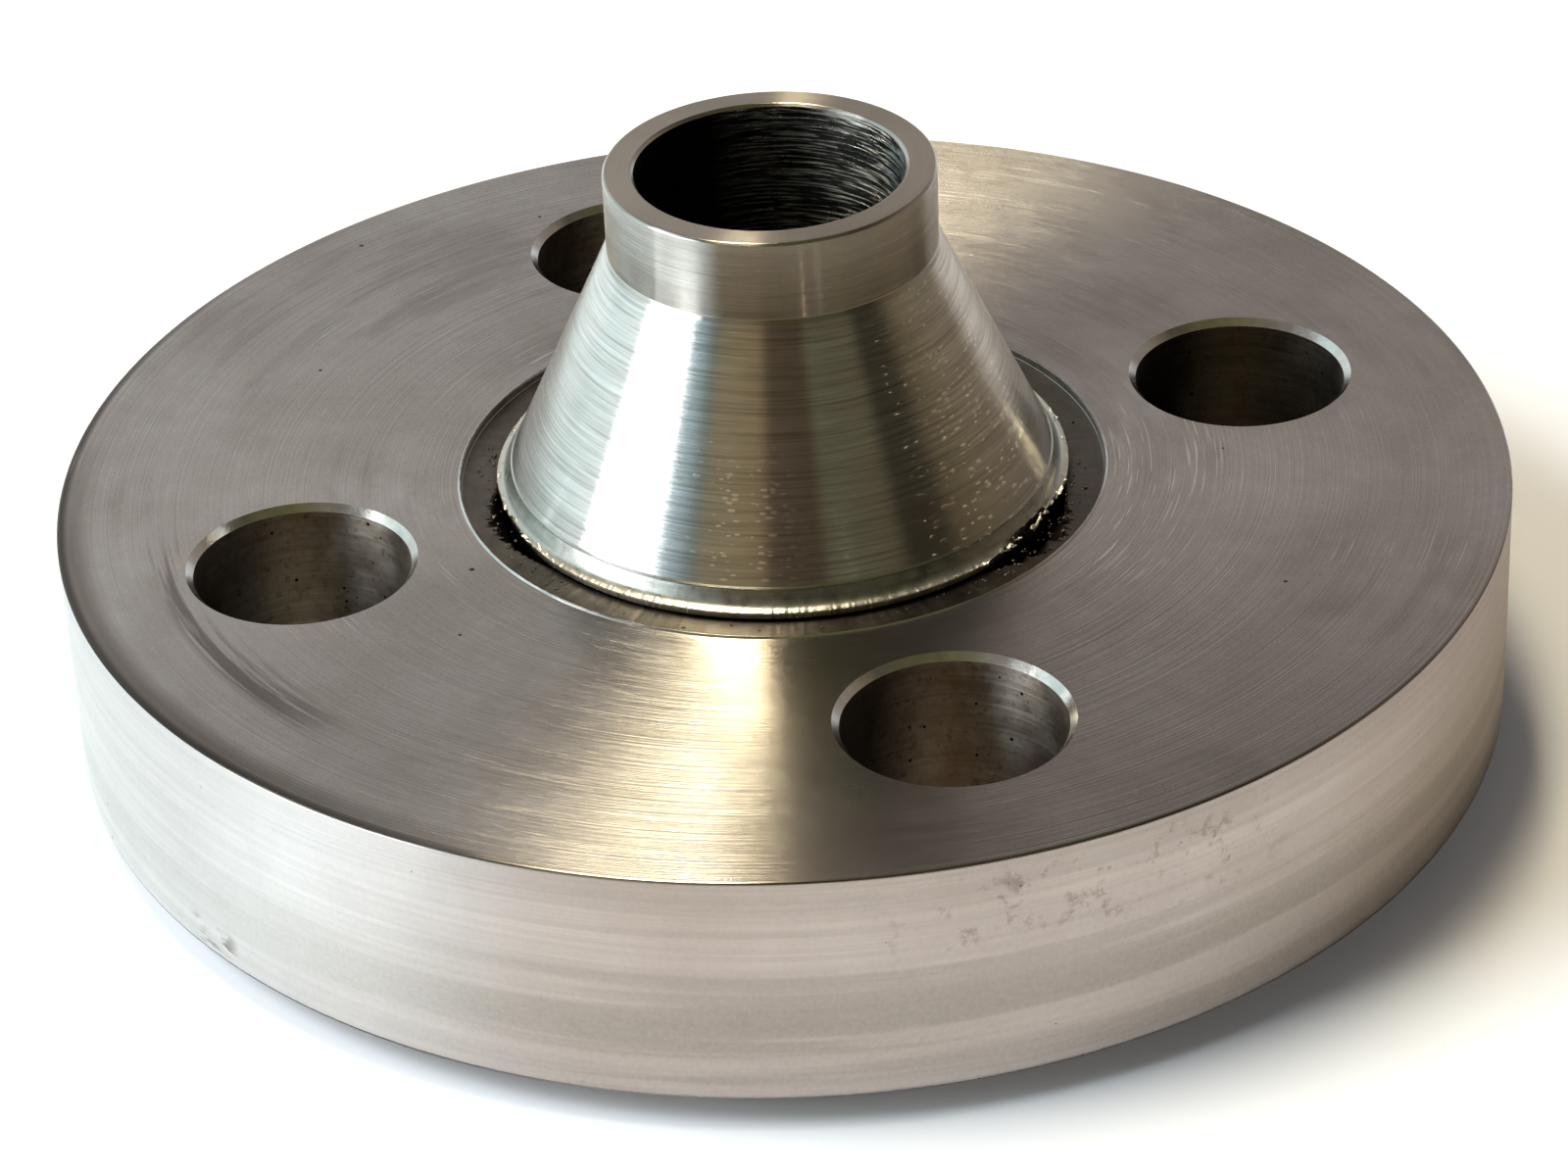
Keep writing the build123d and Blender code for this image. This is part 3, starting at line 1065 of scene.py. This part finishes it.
# For glossy rays the table is painted: bluish towards the window, darker behind and dark room colour
# past about 8 cm in front; these are painted reflections and painted shade.
painted_floor_reflection = tint(tree, step(tree, toward_front, -0.15, 0.6), (0.77, 0.87, 0.91), (0.70, 0.665, 0.635))
painted_floor_reflection = tint(tree, step(tree, toward_back, 0.2, 0.8), painted_floor_reflection, (0.54, 0.50, 0.475))
painted_room_reach = step(tree, distance, 0.076, 0.092)  # in metres: past it the table shows glossy rays a dark painted reflection of the room
beyond = calc(tree, "MULTIPLY", painted_room_reach, step(tree, toward_front, 0.0, 0.3))
painted_floor_reflection = tint(tree, beyond, painted_floor_reflection, (0.20, 0.16, 0.11))
shown = tint(tree, path["Is Glossy Ray"], (0.88, 0.88, 0.88), painted_floor_reflection)
diffuse = node(tree, "ShaderNodeBsdfDiffuse", {"Color": shown}).outputs[0]
lift = calc(tree, "MULTIPLY", path["Is Camera Ray"], 0.06)
glow = node(tree, "ShaderNodeEmission", {"Color": (1, 1, 1, 1), "Strength": lift}).outputs[0]
both = node(tree, "ShaderNodeAddShader", {0: diffuse, 1: glow})
node(tree, "ShaderNodeOutputMaterial", {"Surface": both.outputs[0]})
table_mesh.materials.append(table_paint)

world = bpy.data.worlds.new("room")
scene.world = world
world.use_nodes = True
tree = world.node_tree
tree.nodes.clear()
direction = node(tree, "ShaderNodeTexCoord").outputs["Generated"]
turned = node(
    tree, "ShaderNodeVectorRotate", {"Vector": direction, "Angle": -math.radians(camera_azimuth)},
    rotation_type="Z_AXIS",
).outputs[0]
x, y, z = node(tree, "ShaderNodeSeparateXYZ", {0: turned}).outputs
bearing = calc(tree, "DIVIDE", calc(tree, "ARCTAN2", x, calc(tree, "MULTIPLY", y, -1)), math.tau)
bearing = calc(tree, "ADD", bearing, 0.5)
wall_colours = [  # bearing from the camera, to its right, and colour
    (-180, 0.68, 0.645, 0.61),
    (-150, 0.80, 0.84, 0.82),
    (-118, 0.66, 0.84, 0.84),
    (-108, 0.92, 1.14, 1.15),
    (-90, 1.20, 1.32, 1.32),
    (-57, 0.52, 0.63, 0.69),
    (-54, 0.43, 0.57, 0.65),
    (-45, 0.37, 0.50, 0.56),
    (-43, 0.22, 0.285, 0.285),
    (-38, 0.17, 0.205, 0.18),
    (-36, 0.265, 0.22, 0.135),
    (-10, 0.24, 0.17, 0.09),
    (-7, 0.078, 0.054, 0.036),
    (15, 0.066, 0.047, 0.031),
    (18, 0.122, 0.114, 0.072),
    (46, 0.111, 0.098, 0.061),
    (52, 0.030, 0.026, 0.018),
    (68, 0.032, 0.027, 0.018),
    (76, 0.125, 0.098, 0.058),
    (92, 0.20, 0.165, 0.105),
    (130, 0.27, 0.235, 0.21),
    (155, 0.42, 0.375, 0.34),
]
walls = arc_ramp(tree, bearing, wall_colours, 360)
ceiling_colours = [
    (-180, 0.20, 0.185, 0.165),
    (-135, 0.17, 0.165, 0.155),
    (-90, 0.20, 0.20, 0.19),
    (-45, 0.14, 0.13, 0.105),
    (0, 0.112, 0.108, 0.045),
    (45, 0.090, 0.090, 0.040),
    (90, 0.075, 0.066, 0.050),
    (140, 0.12, 0.108, 0.092),
]
ceiling = arc_ramp(tree, bearing, ceiling_colours, 360)
room = tint(tree, step(tree, z, rise(29), rise(45)), walls, ceiling)
# low down behind the object the walls are pale; places go from 0 to 1 once round
backdrop = [(0, 1, 1, 1), (0.12, 1, 1, 1), (0.18, 0, 0, 0), (0.86, 0, 0, 0), (0.93, 1, 1, 1)]
low = calc(tree, "SUBTRACT", 1.0, step(tree, z, rise(5), rise(17)))
pale = calc(tree, "MULTIPLY", low, ramp(tree, bearing, backdrop))
room = tint(tree, pale, room, (0.80, 0.89, 0.92))
sweep = calc(
    tree, "ARCTAN2", calc(tree, "MULTIPLY", x, -1),
    calc(tree, "SUBTRACT", math.cos(math.radians(camera_elevation)), y),
)
lamp_bands = [  # how far round from the lamp's right edge, in degrees, and colour out of lamp_level
    (5.0, 0, 0, 0),
    (5.6, 0.34, 0.24, 0.12),
    (6.8, 0.42, 0.32, 0.18),
    (7.4, 1.0, 0.90, 0.62),
    (11.5, 1.0, 0.92, 0.68),
    (12.2, 0.85, 0.76, 0.52),
    (18.5, 0.85, 0.76, 0.52),
    (19.2, 0.30, 0.26, 0.17),
    (23, 0.22, 0.19, 0.13),
    (25, 0, 0, 0),
]
lamp_arc = 60  # the lamp's ramp takes in that many degrees
lamp_level = 23.0
share = calc(tree, "MULTIPLY_ADD", sweep, math.degrees(1) / lamp_arc, 0.5)
lamp = arc_ramp(tree, share, lamp_bands, lamp_arc)
overhead = calc(tree, "MULTIPLY", step(tree, z, 0.74, 0.80), step(tree, y, -0.12, 0.0))
lamp = vector_calc(tree, "MULTIPLY", lamp, vector(tree, overhead, overhead, overhead))
room = vector_calc(tree, "ADD", room, vector_calc(tree, "SCALE", lamp, lamp_level))
path = node(tree, "ShaderNodeLightPath").outputs
dimmed = vector_calc(tree, "MULTIPLY", room, (0.42, 0.395, 0.58))
shown = tint(tree, path["Is Diffuse Ray"], room, dimmed)
shown = tint(tree, path["Is Camera Ray"], shown, (1, 1, 1))
background = node(tree, "ShaderNodeBackground", {"Color": shown, "Strength": 1.0})
node(tree, "ShaderNodeOutputWorld", {"Surface": background.outputs[0]})

softbox("window", -72, 18, 1.2, 0.68, 0.9, (0.90, 0.98, 1.0), 5.6)
softbox("window_sky", -82, 46, 2.5, 1.5, 1.0, (0.86, 0.94, 1.0), 13.2, shows=False)

camera = bpy.data.objects.new("camera", bpy.data.cameras.new("camera"))
scene.collection.objects.link(camera)
scene.camera = camera
camera.data.sensor_width = 36
camera.data.lens = lens_mm
camera.data.clip_start = 0.01
back = toward(0, camera_elevation)
camera.location = Vector((0, 0, ring_top * mm)) + back * camera_distance
right = Vector((0, 0, 1)).cross(back).normalized()
aim = Vector((0, 0, aim_height * mm)) + right * aim_side * mm
look = (aim - camera.location).normalized()
camera.rotation_mode = "QUATERNION"
level = look.to_track_quat("-Z", "Y")
tilt = Matrix.Rotation(math.radians(camera_roll), 3, "Z").to_quaternion()
camera.rotation_quaternion = level @ tilt
